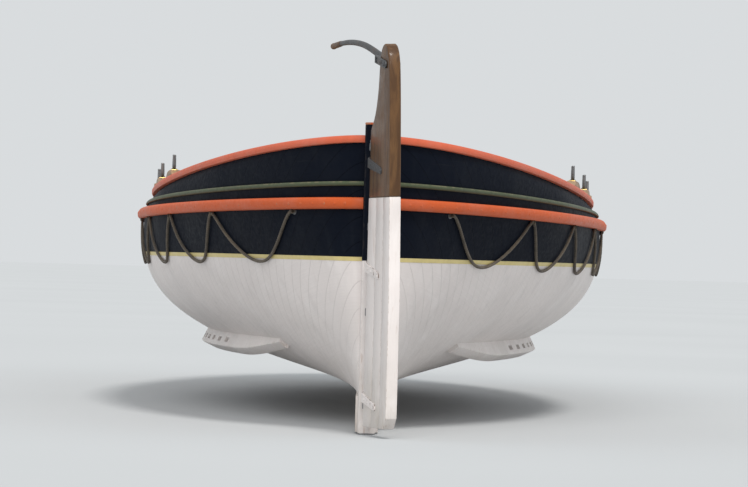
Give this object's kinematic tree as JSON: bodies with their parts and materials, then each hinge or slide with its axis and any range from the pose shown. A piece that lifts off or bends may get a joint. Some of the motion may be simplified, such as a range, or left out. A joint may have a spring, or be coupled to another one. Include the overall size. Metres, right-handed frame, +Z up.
{
  "type": "pulling and sailing lifeboat",
  "caption": "Double-ended open rescue boat for oars and sail, with a raked rudder and arched tiller, lowering foremast, drop keels, air cases, thwarts and grab lines along both sides.",
  "frame": {"origin": "amidships on the centreline, at the height of the waterline that the boat floats at", "axes": "+X towards the bow, +Y to port, +Z up"},
  "size_m": [13.9723, 3.689, 2.5728],
  "materials": {
    "white_paint": "white oil paint on planking, weathered satin",
    "blue_paint": "very dark blue oil paint on planking, satin",
    "red_paint": "orange red oil paint on timber, satin",
    "moulding_paint": "grey green oil paint, satin",
    "grey_paint": "pale grey oil paint on planking, worn",
    "varnished_wood": "dark varnished elm",
    "spar_wood": "varnished spruce",
    "oak": "oiled oak, worn",
    "iron": "galvanized iron, dulled",
    "steel_plate": "galvanized steel plate",
    "canvas": "proofed sail canvas",
    "rope": "three-strand hemp"
  },
  "bodies": {
    "hull": {"hull_bottom": "white_paint", "hull_topsides": "blue_paint", "stem": "white_paint", "sternpost": "white_paint", "keel": "white_paint", "keel_band": "iron", "wale_port": "red_paint", "wale_starboard": "red_paint", "moulding_port": "moulding_paint", "moulding_starboard": "moulding_paint", "rail_port": "red_paint", "rail_starboard": "red_paint", "bilge_keel_port": "white_paint", "bilge_keel_starboard": "white_paint", "deck": "grey_paint", "air_case_bow": "grey_paint", "air_case_stern": "grey_paint", "side_case_port": "grey_paint", "side_case_starboard": "grey_paint", "thwart_1": "oak", "thwart_2": "oak", "thwart_3": "oak", "thwart_4": "oak", "thwart_5": "oak", "thwart_6": "oak", "centre_case_fore": "grey_paint", "centre_case_aft": "grey_paint", "tabernacle": "oak", "mast_crutch": "oak", "fore_yard": "spar_wood", "fore_sail": "canvas", "mizzen_mast": "spar_wood", "mizzen_sail": "canvas", "oars_port": "spar_wood", "oars_starboard": "spar_wood", "bitt_bow": "oak", "bitt_stern_port": "oak", "bitt_stern_starboard": "oak", "compass_locker": "varnished_wood", "lifeline_port": "rope", "lifeline_starboard": "rope", "rudder_rod": "iron"},
    "rudder": {"rudder_blade": "white_paint", "rudder_head": "varnished_wood", "tiller": "iron"},
    "mast": {"foremast": "spar_wood"},
    "fore_plate": {"drop_keel_fore": "steel_plate"},
    "aft_plate": {"drop_keel_aft": "steel_plate"}
  },
  "joints": [
    {"name": "rudder_turn", "type": "hinge", "parent": "hull", "child": "rudder", "pos_m": [-6.539, 0, 0], "axis": [-0.1867, 0, 0.9824], "range_deg": [-50, 20]},
    {"name": "foremast_raise", "type": "hinge", "parent": "hull", "child": "mast", "pos_m": [3.15, 0, 0.72], "axis": [0, 1, 0], "range_deg": [0, 90]},
    {"name": "drop_keel_fore_lower", "type": "hinge", "parent": "hull", "child": "fore_plate", "pos_m": [2.65, 0, -0.65], "axis": [0, -1, 0], "range_deg": [0, 38]},
    {"name": "drop_keel_aft_lower", "type": "hinge", "parent": "hull", "child": "aft_plate", "pos_m": [-1.05, 0, -0.65], "axis": [0, -1, 0], "range_deg": [0, 38]}
  ]
}
